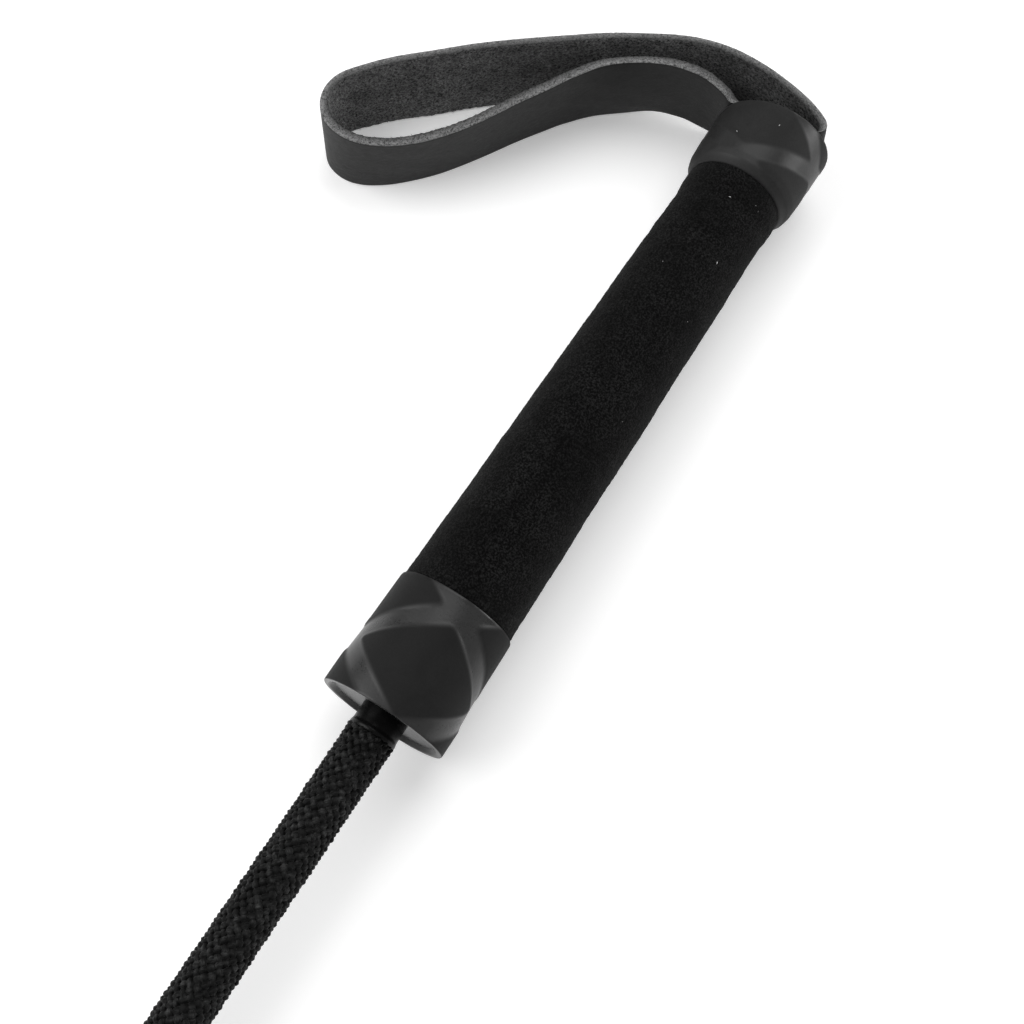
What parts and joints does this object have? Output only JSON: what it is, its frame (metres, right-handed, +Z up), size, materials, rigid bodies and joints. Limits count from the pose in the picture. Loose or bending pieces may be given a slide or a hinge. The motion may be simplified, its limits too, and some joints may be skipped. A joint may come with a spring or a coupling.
{
  "type": "riding crop",
  "caption": "Riding crop with a braided shaft, a suede grip between rubber ferrules, a leather wrist strap at the butt and a leather keeper at the tip.",
  "frame": {"origin": "on the shaft's axis where the braid leaves the neck of the handle", "axes": "+X along the shaft towards the tip, +Z up when the crop lies on a table, the wrist strap lies towards -Y"},
  "size_m": [0.6521, 0.1028, 0.0276],
  "materials": {
    "rubber": "matte moulded rubber with glossier bands",
    "hard_rubber": "satin",
    "suede": "brushed nap",
    "foam": "closed-cell foam",
    "wood": "turned, unvarnished",
    "braid": "tightly braided nylon",
    "filler_yarn": "laid yarn",
    "fibreglass": "pultruded rod",
    "strap_leather": "smooth grain outside, raw flesh side inside, raw cut edges",
    "keeper_leather": "smooth grain, folded and stitched",
    "thread": "waxed thread",
    "tack_steel": "plain"
  },
  "bodies": {
    "handle": {"core_rod": "fibreglass", "shaft_filler": "filler_yarn", "shaft_braid": "braid", "neck_collar": "hard_rubber", "front_plug": "hard_rubber", "front_ferrule": "rubber", "handle_core": "wood", "grip_pad": "foam", "grip_suede": "suede", "butt_cap": "rubber", "butt_plug": "hard_rubber", "strap_base": "strap_leather", "strap_tacks": "tack_steel", "tip_whipping": "thread", "keeper_root": "keeper_leather"},
    "wrist_loop": {"strap_loop": "strap_leather"},
    "keeper": {"keeper_flap": "keeper_leather", "keeper_stitching": "thread"}
  },
  "joints": [
    {"name": "loop_flex", "type": "hinge", "parent": "handle", "child": "wrist_loop", "pos_m": [-0.1627, -0.0313, -0.0019], "axis": [0, 0, 1], "range_deg": [-30, 30], "stiffness_Nm_per_rad": 0.05},
    {"name": "keeper_flex", "type": "hinge", "parent": "handle", "child": "keeper", "pos_m": [0.42275, 0, 0], "axis": [0, 0, 1], "range_deg": [-40, 40], "stiffness_Nm_per_rad": 0.05}
  ]
}
